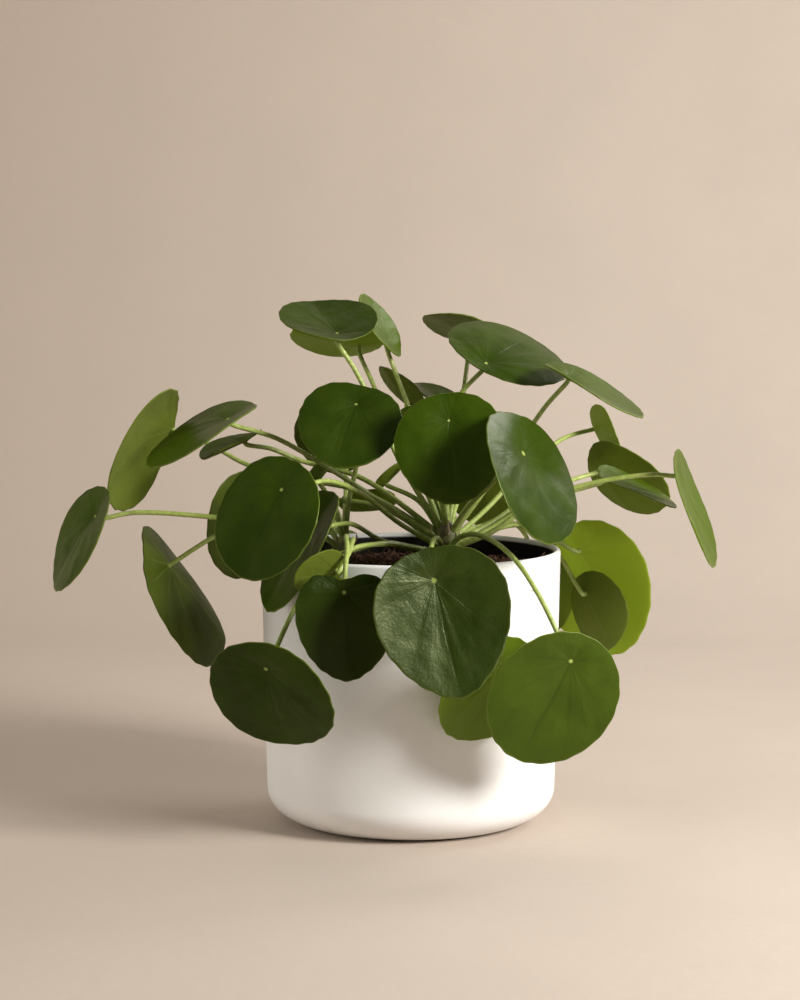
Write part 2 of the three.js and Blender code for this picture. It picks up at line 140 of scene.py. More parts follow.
def map_range(value, low, high, to_low=0.0, to_high=1.0, kind="SMOOTHSTEP"):
    """The value's place between low and high, carried to another range and held inside it."""
    inputs = {"Value": value, "From Min": low, "From Max": high, "To Min": to_low, "To Max": to_high}
    return add_node(value.tree, "ShaderNodeMapRange", inputs, interpolation_type=kind)


def split(vector):
    """A vector's three parts."""
    parts = add_node(vector.tree, "ShaderNodeSeparateXYZ", {0: vector}).node
    return [Result(parts, axis) for axis in "XYZ"]


def scaled(vector, factor):
    """A vector or colour times a number."""
    return add_node(vector.tree, "ShaderNodeVectorMath", {0: vector, "Scale": factor}, operation="SCALE")


def blend_colours(share, first, second):
    """The first colour where share is 0 and the second where it is 1."""
    first, second = (colour if isinstance(colour, Result) else (*colour, 1) for colour in (first, second))
    return add_node(share.tree, "ShaderNodeMix", {0: share, 6: first, 7: second}, 2, data_type="RGBA")


def noise(place, scale, detail=3.0, roughness=0.5):
    """A Noise texture's value at a place."""
    inputs = {"Vector": place, "Scale": scale, "Detail": detail, "Roughness": roughness}
    return add_node(place.tree, "ShaderNodeTexNoise", inputs)


def relief(height, depth):
    """A Bump node's normal, from a height of 0 to 1 that stands for a depth in metres."""
    return add_node(height.tree, "ShaderNodeBump", {"Height": height, "Distance": depth})


def new_material(name):
    """A material with a bare tree, and where a point is on its object."""
    material = bpy.data.materials.new(name)
    material.use_nodes = True
    tree = material.node_tree
    tree.nodes.clear()
    return material, tree, add_node(tree, "ShaderNodeTexCoord", {}, "Object")


def cover(surface):
    """Ends a material's tree in its surface."""
    feed(surface.tree.nodes.new("ShaderNodeOutputMaterial"), {"Surface": surface})


# Painted shade: the paper gets darker toward the left and a little darker toward the camera, where the
# light falls off.
PAPER_BEIGE = (0.55, 0.47, 0.40)
PAPER_PALE = (0.57, 0.487, 0.414)
PAPER_LEFT_SHADE = (0.44, 0.36, 0.293)
beige_paper, tree, place = new_material("beige_paper")
x, y, z = split(place)
paper_colour = blend_colours(map_range(noise(place, 9, 5, 0.6), 0.3, 0.7), PAPER_BEIGE, PAPER_PALE)
paper_colour = blend_colours(map_range(x, -0.5, 0.15, kind="LINEAR"), PAPER_LEFT_SHADE, paper_colour)
cover(add_node(tree, "ShaderNodeBsdfPrincipled", {
    "Base Color": scaled(paper_colour, map_range(y, -0.55, -0.15, 0.9, 1.0)),
    "Roughness": 0.85, "Specular IOR Level": 0.2, "Normal": relief(noise(place, 120), 0.0003)}))
sweep.data.materials.append(beige_paper)


def area_light(name, place, aim, size, watts, colour, mirrored=True):
    """A square soft light at a place, turned to its aim."""
    data = bpy.data.lights.new(name, "AREA")
    data.size = size
    data.energy = watts
    data.color = colour
    light = bpy.data.objects.new(name, data)
    scene.collection.objects.link(light)
    light.location = place
    light.rotation_euler = (Vector(aim) - Vector(place)).to_track_quat("-Z", "Y").to_euler()
    light.visible_glossy = mirrored


area_light("key_light", (1.12, -0.79, 0.73), (0, 0, 0.12), size=0.45, watts=35, colour=(1.0, 0.98, 0.95))
area_light("rim_light", (1.0, 0.75, 0.95), (0, 0, 0.15), size=0.5, watts=6, colour=(1.0, 0.98, 0.95))
area_light("left_fill", (-1.45, -0.1, 0.3), (0, 0, 0.12), size=1.4, watts=15, colour=(1.0, 0.96, 0.9),
           mirrored=False)
area_light("ceiling_fill", (-0.5, 0.3, 1.9), (-0.1, 0.2, 0), size=2.0, watts=11, colour=(1.0, 0.97, 0.92),
           mirrored=False)
world = bpy.data.worlds.new("room")
world.use_nodes = True
feed(world.node_tree.nodes["Background"], {"Color": (1.0, 0.96, 0.9, 1), "Strength": 0.1})
scene.world = world

# The pot. A slip-cast ceramic cylinder, a little wider at the top, with a rounded foot and rim.
# It is white and nearly matte, with a faint unevenness in the glaze, and its inner wall is near
# black and less shiny from just under the rim down to 60 mm.
MM = 0.001
POT_HEIGHT = 128
POT_TOP_RADIUS = 70
POT_LOW_RADIUS = 67.6
POT_FOOT_RADIUS = 46
POT_FOOT_RISE = 16
POT_WALL = 2.8
POT_FLOOR = 5
POT_INNER_RISE = 19
POT_FLAT_RING = 20
POT_SIDES = 144


def arc(centre_radius, centre_height, width, height, start, end, steps):
    """Part of an ellipse as radius and height pairs, between two angles in degrees."""
    angles = [math.radians(start + (end - start) * step / steps) for step in range(steps + 1)]
    return [(centre_radius + width * math.cos(a), centre_height + height * math.sin(a)) for a in angles]


def wall(start, end, steps):
    """The radius and height pairs between two ends of a straight wall."""
    return [(start[0] + (end[0] - start[0]) * step / steps, start[1] + (end[1] - start[1]) * step / steps)
            for step in range(1, steps)]


def turned(name, profile, sides):
    """A closed piece turned round the Z axis from a profile that starts and ends on the axis."""
    points = [(0, 0, profile[0][1] * MM)]
    for radius, height in profile[1:-1]:
        for side in range(sides):
            angle = 2 * math.pi * side / sides
            points.append((radius * math.cos(angle) * MM, radius * math.sin(angle) * MM, height * MM))
    points.append((0, 0, profile[-1][1] * MM))
    rings = len(profile) - 2
    faces = []
    for side in range(sides):
        after = (side + 1) % sides
        faces.append((0, 1 + after, 1 + side))
        for ring in range(rings - 1):
            low = 1 + ring * sides
            faces.append((low + side, low + after, low + sides + after, low + sides + side))
        last = 1 + (rings - 1) * sides
        faces.append((last + side, last + after, len(points) - 1))
    return smooth_piece(name, points, faces)


rim_round = POT_WALL / 2
rim_low = POT_HEIGHT - rim_round
inner_top_radius = POT_TOP_RADIUS - POT_WALL
inner_low_radius = POT_LOW_RADIUS - POT_WALL
inner_foot_radius = POT_FOOT_RADIUS - POT_WALL
pot = turned("white_pot", [
    (0, 0),
    (POT_FLAT_RING, 0),
    *arc(POT_FOOT_RADIUS, POT_FOOT_RISE, POT_LOW_RADIUS - POT_FOOT_RADIUS, POT_FOOT_RISE, -90, 0, 20),
    *wall((POT_LOW_RADIUS, POT_FOOT_RISE), (POT_TOP_RADIUS, rim_low), 12),
    *arc(POT_TOP_RADIUS - rim_round, rim_low, rim_round, rim_round, 0, 180, 14),
    *wall((inner_top_radius, rim_low), (inner_low_radius, POT_INNER_RISE), 4),
    *arc(inner_foot_radius, POT_INNER_RISE, inner_low_radius - inner_foot_radius,
         POT_INNER_RISE - POT_FLOOR, 0, -90, 8),
    (0, POT_FLOOR),
], POT_SIDES)

GLAZE_WHITE = (0.81, 0.80, 0.775)
GLAZE_BRIGHT = (0.845, 0.835, 0.815)
GLAZE_SHINE = 0.3
DARK_WALL = (0.012, 0.010, 0.007)
DARK_SHINE = 0.05
DARK_LOW = 60
DARK_FADE_IN = 0.4
DARK_FADE_DOWN = 1.1
white_ceramic, tree, place = new_material("white_ceramic")
cloud = noise(place, 22)
speckle = noise(place, 900, 2)
white = blend_colours(map_range(cloud, 0.35, 0.65), GLAZE_WHITE, GLAZE_BRIGHT)
x, y, z = split(place)
from_axis = maths("SQRT", x * x + y * y)
inside = map_range(from_axis, (inner_top_radius + DARK_FADE_IN) * MM, inner_top_radius * MM)
inside = inside * map_range(z, rim_low * MM, (rim_low - DARK_FADE_DOWN) * MM)
inside = inside * maths("GREATER_THAN", z, DARK_LOW * MM)
# The shine level is first set on the shader's own socket, then linked to the dark wall's mask.
# The level set first is the one that the export keeps, because it drops a linked one.
glaze = add_node(tree, "ShaderNodeBsdfPrincipled", {"Specular IOR Level": GLAZE_SHINE})
feed(glaze.node, {
    "Base Color": blend_colours(inside, white, DARK_WALL),
    "Roughness": map_range(cloud, 0.3, 0.7, 0.42, 0.52),
    "Specular IOR Level": map_range(inside, 0.0, 1.0, GLAZE_SHINE, DARK_SHINE),
    "Normal": relief(cloud * 0.85 + speckle * 0.15, 0.00035)})
cover(glaze)
pot.data.materials.append(white_ceramic)
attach(pot, "root")
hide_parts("pot")

# The soil. Dark coir and bark potting mix, pressed to just under the rim and heaped at the front
# right and round the stems. Loose crumbs of bark lie on it, and a few coir fibres stand up from it.
SOIL_TOP = 118
SOIL_RADIUS = 66.3
SOIL_LOW_RADIUS = 64
SOIL_DEPTH = 14
SOIL_EDGE_DIP = 1.2
SOIL_RINGS = 40
SOIL_SIDES = 120
# Each heap's place, height and spread: at the front right, round the main stem, round the side stem.
SOIL_HEAPS = [(45, -42, 5.5, 500), (15, 3, 4.5, 260), (-30, -6, 3, 180)]


def soil_height(x, y):
    """The soil's height at a place, in millimetres: its heaps, its rough top and its lower edge."""
    heaps = sum(high * math.exp(-((x - heap_x) ** 2 + (y - heap_y) ** 2) / spread)
                for heap_x, heap_y, high, spread in SOIL_HEAPS)
    rough = 0.9 * math.sin(0.41 * x + 1.3) * math.cos(0.37 * y) + 0.6 * math.sin(0.9 * x - 0.7 * y)
    edge = SOIL_EDGE_DIP * (math.hypot(x, y) / SOIL_RADIUS) ** 8
    return SOIL_TOP + heaps + rough - edge


soil_low = (SOIL_TOP - SOIL_DEPTH) * MM
soil_rounds = [(math.cos(2 * math.pi * side / SOIL_SIDES), math.sin(2 * math.pi * side / SOIL_SIDES))
               for side in range(SOIL_SIDES)]
soil_points = [(0, 0, soil_height(0, 0) * MM)]
for ring in range(1, SOIL_RINGS + 1):
    radius = SOIL_RADIUS * ring / SOIL_RINGS
    soil_points += [(radius * x * MM, radius * y * MM, soil_height(radius * x, radius * y) * MM)
                    for x, y in soil_rounds]
soil_points += [(SOIL_LOW_RADIUS * x * MM, SOIL_LOW_RADIUS * y * MM, soil_low) for x, y in soil_rounds]
soil_points.append((0, 0, soil_low))
soil_faces = []
for side in range(SOIL_SIDES):
    after = (side + 1) % SOIL_SIDES
    soil_faces.append((0, 1 + side, 1 + after))
    for ring in range(SOIL_RINGS):
        inner = 1 + ring * SOIL_SIDES
        outer = inner + SOIL_SIDES
        soil_faces.append((inner + side, outer + side, outer + after, inner + after))
    soil_faces.append((outer + side, len(soil_points) - 1, outer + after))
soil = smooth_piece("soil_bed", soil_points, soil_faces)

COIR_DARK = (0.014, 0.008, 0.006)
COIR_BROWN = (0.26, 0.13, 0.085)
coir_mix, tree, place = new_material("coir_mix")
grain = noise(place, 420, 5, 0.7)
lumps = noise(place, 90)
cover(add_node(tree, "ShaderNodeBsdfPrincipled", {
    "Base Color": blend_colours(map_range(grain, 0.35, 0.68), COIR_DARK, COIR_BROWN),
    "Roughness": 0.95, "Specular IOR Level": 0.25, "Normal": relief(grain * 0.5 + lumps * 0.5, 0.003)}))
soil.data.materials.append(coir_mix)


def new_tree(name, sizes):
    """A Geometry Nodes tree with named inputs, and what each of them gives."""
    kinds = {int: "NodeSocketInt", float: "NodeSocketFloat", bpy.types.Material: "NodeSocketMaterial"}
    tree = bpy.data.node_groups.new(name, "GeometryNodeTree")
    tree.interface.new_socket(name="Geometry", in_out="INPUT", socket_type="NodeSocketGeometry")
    for label, value in sizes.items():
        socket = tree.interface.new_socket(name=label, in_out="INPUT", socket_type=kinds[type(value)])
        socket.default_value = value
    tree.interface.new_socket(name="Geometry", in_out="OUTPUT", socket_type="NodeSocketGeometry")
    entry = tree.nodes.new("NodeGroupInput")
    return tree, {label: Result(entry, label) for label in ("Geometry", *sizes)}


def joined(tree, *pieces):
    """One geometry from several."""
    join = tree.nodes.new("GeometryNodeJoinGeometry")
    for piece in pieces:
        feed(join, {0: piece})
    return Result(join)


def finish_tree(geometry, material):
    """Ends a tree in Realize Instances and Set Material."""
    tree = geometry.tree
    real = add_node(tree, "GeometryNodeRealizeInstances", {"Geometry": geometry})
    finished = add_node(tree, "GeometryNodeSetMaterial", {"Geometry": real, "Material": material})
    feed(tree.nodes.new("NodeGroupOutput"), {"Geometry": finished})


def grown(name, source, tree, sizes):
    """A plain mesh object, grown by a tree from a source mesh with the given sizes."""
    piece = bpy.data.objects.new(name, source)
    scene.collection.objects.link(piece)
    modifier = piece.modifiers.new("grown", "NODES")
    modifier.node_group = tree
    names = {item.name: item.identifier for item in tree.interface.items_tree if item.in_out == "INPUT"}
    for label, value in sizes.items():
        modifier[names[label]] = value
    bpy.context.view_layer.update()
    evaluated = piece.evaluated_get(bpy.context.evaluated_depsgraph_get())
    mesh = bpy.data.meshes.new_from_object(evaluated)
    piece.modifiers.remove(modifier)
    mesh.name = name
    piece.data = mesh
    return piece


# Crumbs and fibres are spread over the soil's upper face, each turned and stretched its own way.
tree, given = new_tree("soil_litter", {
    "Crumbs per square metre": 90000.0, "Crumb size": 0.0013, "Fibres per square metre": 11000.0,
    "Fibre length": 0.011, "Seed": 7})
FULL_TURN = 6.28
FIBRE_LEAN = 1.5
FACES_UP = 0.4
faces_up = maths("GREATER_THAN", split(add_node(tree, "GeometryNodeInputNormal"))[2], FACES_UP)
crumb_points = add_node(tree, "GeometryNodeDistributePointsOnFaces", {
    "Mesh": given["Geometry"], "Selection": faces_up,
    "Density": given["Crumbs per square metre"], "Seed": given["Seed"]})
lump_noise = add_node(tree, "ShaderNodeTexNoise", {"Scale": 1.3}, "Color")
pushed = add_node(tree, "ShaderNodeVectorMath", {0: lump_noise, 1: (0.5, 0.5, 0.5)}, operation="SUBTRACT")
lump = add_node(tree, "GeometryNodeSetPosition", {
    "Geometry": add_node(tree, "GeometryNodeMeshIcoSphere", {"Radius": 1.0, "Subdivisions": 2}),
    "Offset": scaled(pushed, 2.2)})
crumb_turn = add_node(tree, "FunctionNodeRandomValue", {
    "Min": (0.0, 0.0, 0.0), "Max": (FULL_TURN, FULL_TURN, FULL_TURN), "Seed": given["Seed"]},
    data_type="FLOAT_VECTOR")
crumb_stretch = add_node(tree, "FunctionNodeRandomValue", {
    "Min": (0.35, 0.4, 0.25), "Max": (2.2, 1.5, 1.0), "Seed": given["Seed"]}, data_type="FLOAT_VECTOR")
crumbs = add_node(tree, "GeometryNodeInstanceOnPoints", {
    "Points": crumb_points, "Instance": lump, "Rotation": crumb_turn,
    "Scale": scaled(crumb_stretch, given["Crumb size"])})
fibre_points = add_node(tree, "GeometryNodeDistributePointsOnFaces", {
    "Mesh": given["Geometry"], "Selection": faces_up,
    "Density": given["Fibres per square metre"], "Seed": 3})
fibre_line = add_node(tree, "GeometryNodeCurveQuadraticBezier", {
    "Resolution": 7, "Start": (0.0, 0.0, -0.1), "Middle": (0.25, 0.0, 0.6), "End": (-0.15, 0.1, 1.0)})
fibre_ring = add_node(tree, "GeometryNodeCurvePrimitiveCircle", {"Resolution": 4, "Radius": 0.022})
fibre = add_node(tree, "GeometryNodeCurveToMesh", {
    "Curve": fibre_line, "Profile Curve": fibre_ring, "Fill Caps": True})
fibre_turn = add_node(tree, "FunctionNodeRandomValue", {
    "Min": (-FIBRE_LEAN, -FIBRE_LEAN, 0.0), "Max": (FIBRE_LEAN, FIBRE_LEAN, FULL_TURN), "Seed": 4},
    data_type="FLOAT_VECTOR")
fibre_size = add_node(tree, "FunctionNodeRandomValue", {2: 0.35, 3: 1.0, "Seed": 5}, 1, data_type="FLOAT")
fibres = add_node(tree, "GeometryNodeInstanceOnPoints", {
    "Points": fibre_points, "Instance": fibre, "Rotation": fibre_turn,
    "Scale": fibre_size * given["Fibre length"]})
finish_tree(joined(tree, crumbs, fibres), coir_mix)
litter = grown("soil_crumbs", soil.data.copy(), tree, {"Seed": 7})
for piece in (soil, litter):
    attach(piece, "root")
    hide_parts("soil")

# The stems and stalks. Two fleshy green stems stand in the soil, the main one in the middle and a
# smaller one to its left. Each leaf hangs on a thin stalk that leaves its stem near the growing tip
# and bends over at its end, where it turns into the leaf's veins. It all grew as one.
stems = {
    "main_stem": {"foot": (15, 3, 84), "head": (17, 0, 141), "radius": 6.2},
    "side_stem": {"foot": (-30, -6, 92), "head": (-31, -8, 133), "radius": 4.2},
}
STALK_RADIUS = 1.25
HOOK_SHARE = 0.45
STALK_SUNK = 0.6
BLADE_THICKNESS = 0.8
GOLDEN_TURN = 2.4

# A leaf's stalk leaves its stem at the height root, follows its course and ends at the joint. The
# blade faces the way of facing, from the front (0) to the right (90), lifted from level by lift. Its
# tip is rolled from straight downhill by roll. The tone runs from dark (-1) to pale and lit through (1):
# besides each leaf's own green, its dark end paints shade on leaves that sit in shadow, and its pale
# end paints part of the light on leaves lit from behind.
leaves = [
    # Left side, from the far tip inward.
    dict(name="leaf_01", stem="side_stem", root=127, joint=(-146, -15, 144.5), facing=-63, lift=27,
         tone_and_shading=0.05, roll=-26, size=(54, 51), cup=-0.1, fold=0.1, hook=6,
         course=[(-47, -10, 138), (-92, -14, 144), (-128, -14, 146)]),
    dict(name="leaf_02", stem="main_stem", root=131, joint=(-114, 25, 182), facing=-128, lift=31,
         tone_and_shading=0.35, roll=78, size=(51, 68), seat=0.46, cup=-0.3, fold=0, hook=8,
         course=[(-23, 14, 153), (-50, 24, 158), (-79, 30, 165), (-97, 29, 175)]),
    dict(name="leaf_03", stem="main_stem", root=130, joint=(-84, -22, 190), facing=-66, lift=62,
         tone_and_shading=0.1, roll=-7, size=(58, 56), cup=-0.1, fold=0.12, hook=5,
         course=[(-9, -6, 147), (-37, -13, 166), (-62, -19, 181)]),
    dict(name="leaf_04", stem="main_stem", root=132, joint=(-78, 5, 178), facing=-71, lift=66,
         tone_and_shading=0.2, dull=True, roll=20, size=(32, 30), cup=0.1, fold=0.2, hook=4,
         course=[(-23, 9, 160), (-52, 13, 168), (-66, 9, 174)]),
    dict(name="leaf_05", stem="main_stem", root=127, joint=(-57, -72, 162), facing=-33, lift=23,
         tone_and_shading=-0.2, roll=-16, size=(57, 55), cup=-0.12, fold=0.1, hook=8,
         course=[(-5, -14, 141), (-23, -34, 157), (-38, -50, 164)]),
    dict(name="leaf_06", stem="main_stem", root=126, joint=(-42, -51, 145.5), facing=-62, lift=30,
         tone_and_shading=-0.2, roll=-14, size=(62, 51), cup=-0.1, fold=0.14, hook=8,
         course=[(0, -13, 129), (-14, -24, 134.5), (-27, -35, 143)]),
    dict(name="leaf_07", stem="main_stem", root=128, joint=(-114, 0, 119.5), facing=-105, lift=-31,
         tone_and_shading=0, dull=True, roll=-43, size=(74, 72), seat=0.26, cup=0.17, fold=0.14, hook=8,
         course=[(-14, 2, 147), (-47, 0, 150), (-75, -2, 142), (-93, -2, 133)]),
    dict(name="leaf_08", stem="main_stem", root=125, joint=(-63, -95, 86), facing=-23, lift=-30,
         tone_and_shading=-0.3, dull=True, roll=-3, size=(61, 59), cup=-0.1, fold=0.08, hook=10,
         course=[(0, -22, 131), (-12, -42, 135), (-28, -57, 133),
                 (-38, -69, 130), (-44, -70, 121), (-52, -71, 108)]),
    dict(name="leaf_09", stem="side_stem", root=122, joint=(-33, -80, 127.5), facing=-140, lift=32,
         tone_and_shading=0.3, roll=80, size=(26, 24), seat=0.3, cup=0.05, fold=0.1, hook=4,
         course=[(-27, -34, 134), (-26, -58, 138), (-28, -76, 133)]),
    dict(name="leaf_10", stem="side_stem", root=125, joint=(-29, -91, 119), facing=2, lift=-5,
         tone_and_shading=-0.6, dull=True, roll=3, size=(52, 43), cup=0, fold=0.3, heel_bend=-1.6, tip=0.05,
         notch=0.3, egg=0.16, hook=4,
         course=[(-29, -34, 136), (-29, -60, 139.5), (-28, -78, 137), (-28.5, -87.5, 129)]),
    dict(name="leaf_11", stem="main_stem", root=123, joint=(-35, -68, 113), facing=-32, lift=-5,
         tone_and_shading=0.8, roll=0, size=(42, 40), cup=-0.1, fold=0.08, hook=3,
         course=[(0, -24, 131), (-14, -46, 135), (-27, -61, 134), (-32, -67, 128)]),
    # Front and right side.
    dict(name="leaf_12", stem="main_stem", root=124, joint=(10, -101, 125.5), facing=12, lift=5,
         tone_and_shading=-0.6, roll=11, size=(65, 60), seat=0.26, cup=0.14, fold=0.08, tip=0.06, egg=0.13, hook=12,
         course=[(12, -40, 137), (9, -72, 136)]),
    dict(name="leaf_13", stem="main_stem", root=125, joint=(40, -80, 86), facing=30, lift=-20,
         tone_and_shading=0.6, roll=-14, size=(55, 50), cup=-0.12, fold=0.05, hook=4,
         course=[(24, -40, 132), (29, -70, 131), (34, -78, 110)]),
    dict(name="leaf_14", stem="main_stem", root=127, joint=(69.5, -95, 89.5), facing=12, lift=-12,
         tone_and_shading=0.12, roll=-24, size=(65, 58), seat=0.28, cup=-0.1, fold=0.12, hook=8,
         course=[(23, -15, 135), (32, -38, 138), (46, -72, 131), (57, -86, 115)]),
    dict(name="leaf_15", stem="main_stem", root=127, joint=(83, 58, 120), facing=142, lift=8,
         tone_and_shading=1.0, roll=-24, size=(68, 64), seat=0.28, cup=-0.1, fold=0.08, hook=6,
         course=[(28, 15, 135), (48, 34, 136), (66, 49, 129)]),
    dict(name="leaf_16", stem="main_stem", root=126, joint=(85, 42, 101), facing=130, lift=0,
         tone_and_shading=0.3, roll=-32, size=(40, 36), cup=0.1, fold=0.2, hook=5,
         course=[(30, 12, 132), (52, 28, 136), (64, 35, 131), (73, 39, 118)]),
    dict(name="leaf_17", stem="main_stem", root=125, joint=(63, 69, 107), facing=150, lift=-10,
         tone_and_shading=0.55, roll=0, size=(44, 42), cup=-0.1, fold=0.1, hook=5,
         course=[(28, 23, 132), (44, 43, 137), (56, 60, 128)]),
    dict(name="leaf_18", stem="main_stem", root=131, joint=(50, -57, 177), facing=57, lift=29,
         tone_and_shading=-0.3, roll=-10, size=(65, 63), seat=0.17, cup=-0.12, fold=0.08, hook=10,
         course=[(26, -10, 148), (36, -28, 160)]),
    dict(name="leaf_19", stem="main_stem", root=132, joint=(17, -49, 191), facing=-8, lift=18,
         tone_and_shading=0.0, roll=6, size=(51, 50), cup=-0.14, fold=0.14, egg=0.1, hook=10,
         course=[(14, -10, 164), (13, -22, 181)]),
    dict(name="leaf_20", stem="side_stem", root=128, joint=(-25, -26, 197), facing=1, lift=43,
         tone_and_shading=-0.4, roll=-15, size=(48, 47), cup=-0.14, fold=0.12, hook=10,
         course=[(-29, -3, 150), (-25, -6, 170)]),
    # Upper leaves.
    dict(name="leaf_21", stem="main_stem", root=133, joint=(-34, -14, 229), facing=10, lift=69,
         tone_and_shading=-0.3, roll=-166, size=(44, 46), cup=0.1, fold=0.12, hook=8,
         course=[(-3, -3, 165), (-15, -6, 190), (-26, -9, 212)]),
    dict(name="leaf_22", stem="main_stem", root=132, joint=(-25, 40, 221.5), facing=-178, lift=63,
         tone_and_shading=0.6, roll=112, size=(46, 44), cup=0.05, fold=0.1, hook=8,
         course=[(2, 15, 165), (-10, 24, 185), (-19, 33, 205)]),
    dict(name="leaf_23", stem="main_stem", root=133, joint=(-10.5, 27, 224.5), facing=68, lift=32,
         tone_and_shading=0.3, roll=-139, size=(36, 30), cup=0.15, fold=0.1, hook=4,
         course=[(5, 16, 170), (-1, 24, 192)]),
    dict(name="leaf_24", stem="main_stem", root=134, joint=(35, 0, 214.5), facing=22, lift=57,
         tone_and_shading=-0.15, roll=127, size=(56, 60), seat=0.36, cup=-0.2, fold=0.03, hook=5,
         course=[(17, 4, 172), (22, 3, 198)]),
    dict(name="leaf_25", stem="main_stem", root=134, joint=(29.5, 62, 224.7), facing=147, lift=63,
         tone_and_shading=0.2, roll=160, size=(37, 36), cup=-0.05, fold=0.1, hook=6,
         course=[(19, 16, 170), (25, 37, 198)]),
    dict(name="leaf_26", stem="main_stem", root=131, joint=(73, -10, 208), facing=73, lift=61,
         tone_and_shading=0.2, roll=5, size=(52, 48), cup=0, fold=0.12, hook=5,
         course=[(37, -2, 159), (52, -6, 180), (63, -9, 196)]),
    dict(name="leaf_27", stem="main_stem", root=130, joint=(91.2, 72, 179.2), facing=100, lift=18,
         tone_and_shading=0.4, roll=-85, size=(37, 26), seat=0.27, cup=0.11, fold=0.09, hook=4,
         course=[(33, 17, 142), (53, 38, 160), (74, 58, 175)]),
    dict(name="leaf_28", stem="main_stem", root=129, joint=(93.6, 58, 159.7), facing=126, lift=22,
         tone_and_shading=0.35, roll=-65, size=(49, 38), seat=0.25, cup=0.28, fold=0, hook=3,
         course=[(37, 12, 138), (60, 29, 152), (79, 49, 156)]),
    dict(name="leaf_29", stem="main_stem", root=128, joint=(90.7, 6, 160), facing=78, lift=61,
         tone_and_shading=0.3, roll=40, size=(42, 40), seat=0.45, cup=0.07, fold=0.11, hook=3,
         course=[(37, 5, 136.5), (60, 9, 150), (80, 10, 155)]),
    dict(name="leaf_30", stem="main_stem", root=127, joint=(123, -17, 163.8), facing=78, lift=13,
         tone_and_shading=0.45, roll=7, size=(57, 58), seat=0.29, cup=0.19, fold=0, hook=4,
         course=[(37, -7, 136), (58, -12, 151), (84, -15, 160), (111, -17, 164)]),
    # Small leaves among the stalks and the tips behind them.
    dict(name="leaf_31", stem="main_stem", root=133, joint=(-1, 46, 194), facing=120, lift=43,
         tone_and_shading=0.3, roll=180, size=(30, 28), cup=0.05, fold=0.12, hook=4,
         course=[(10, 20, 160), (2, 38, 180)]),
    dict(name="leaf_32", stem="main_stem", root=132, joint=(-8, 11, 183.5), facing=-60, lift=50,
         tone_and_shading=0.3, roll=180, size=(20, 18), cup=0.05, fold=0.1, hook=4,
         course=[(5, 7, 160), (-3, 10, 174)]),
    dict(name="leaf_33", stem="main_stem", root=133, joint=(21, 46, 190), facing=60, lift=62,
         tone_and_shading=0.3, roll=180, size=(33, 30), cup=0.05, fold=0.12, hook=4,
         course=[(18, 20, 160), (20, 36, 176)]),
    dict(name="leaf_34", stem="main_stem", root=133, joint=(28, 22, 190), facing=20, lift=50,
         tone_and_shading=0.5, roll=0, size=(28, 27), cup=-0.08, fold=0.1, hook=5,
         course=[(22, 10, 162), (27, 22, 178)]),
    dict(name="leaf_35", stem="main_stem", root=128, joint=(-14, 33, 146), facing=-170, lift=60,
         tone_and_shading=0.5, roll=90, size=(28, 26), cup=0, fold=0.12, hook=4,
         course=[(-4, 16, 142)]),
    dict(name="leaf_36", stem="main_stem", root=128, joint=(35, 50, 152), facing=170, lift=45,
         tone_and_shading=0.5, roll=0, size=(40, 38), cup=-0.05, fold=0.1, hook=5,
         course=[(22, 18, 148), (30, 36, 152)]),
    dict(name="leaf_37", stem="main_stem", root=130, joint=(-12, 18, 157), facing=-120, lift=50,
         tone_and_shading=0.4, roll=180, size=(20, 14), cup=0.1, fold=0.3, hook=3,
         course=[(4, 9, 149)]),
    dict(name="leaf_38", stem="side_stem", root=129, joint=(-44, 0, 160), facing=-60, lift=45,
         tone_and_shading=0.4, roll=180, size=(20, 15), cup=0.1, fold=0.3, hook=3,
         course=[(-36, -5, 148)]),
    # The far side.
    dict(name="leaf_39", stem="side_stem", root=128, joint=(-30, 62, 188), facing=-170, lift=35,
         roll=10, size=(50, 48), cup=-0.1, fold=0.1, hook=8,
         course=[(-31, 8, 144), (-31, 23, 150.5), (-31, 42, 174)]),
    dict(name="leaf_40", stem="main_stem", root=131, joint=(42, 82, 174), facing=160, lift=25,
         roll=-8, size=(58, 56), cup=-0.1, fold=0.1, hook=10,
         course=[(22, 22, 150), (34, 54, 170)]),
    dict(name="leaf_41", stem="side_stem", root=127, joint=(-80, 70, 145), facing=-128, lift=8,
         roll=10, size=(54, 52), cup=-0.1, fold=0.1, hook=8,
         course=[(-44, 14, 143), (-64, 44, 150)]),
    dict(name="leaf_42", stem="side_stem", root=124, joint=(-40, 98, 112), facing=-160, lift=-15,
         roll=-6, size=(60, 58), cup=-0.12, fold=0.08, hook=10,
         course=[(-33, 26, 135), (-37, 62, 140), (-39, 84, 128)]),
    dict(name="leaf_43", stem="main_stem", root=126, joint=(26, 100, 104), facing=172, lift=-20,
         roll=6, size=(62, 60), cup=-0.1, fold=0.1, hook=10,
         course=[(19, 32, 134), (22, 66, 135), (25, 86, 124)]),
]


def blade_axes(leaf):
    """The blade's three directions: along it from heel to tip, across it, and up from its face."""
    facing, lift, roll = (math.radians(leaf[key]) for key in ("facing", "lift", "roll"))
    ahead = Vector((math.sin(facing), -math.cos(facing), 0))
    up = ahead * math.cos(lift) + Vector((0, 0, math.sin(lift)))
    downhill = ahead * math.sin(lift) - Vector((0, 0, math.cos(lift)))
    along = downhill * math.cos(roll) + up.cross(downhill) * math.sin(roll)
    return along, up.cross(along), up


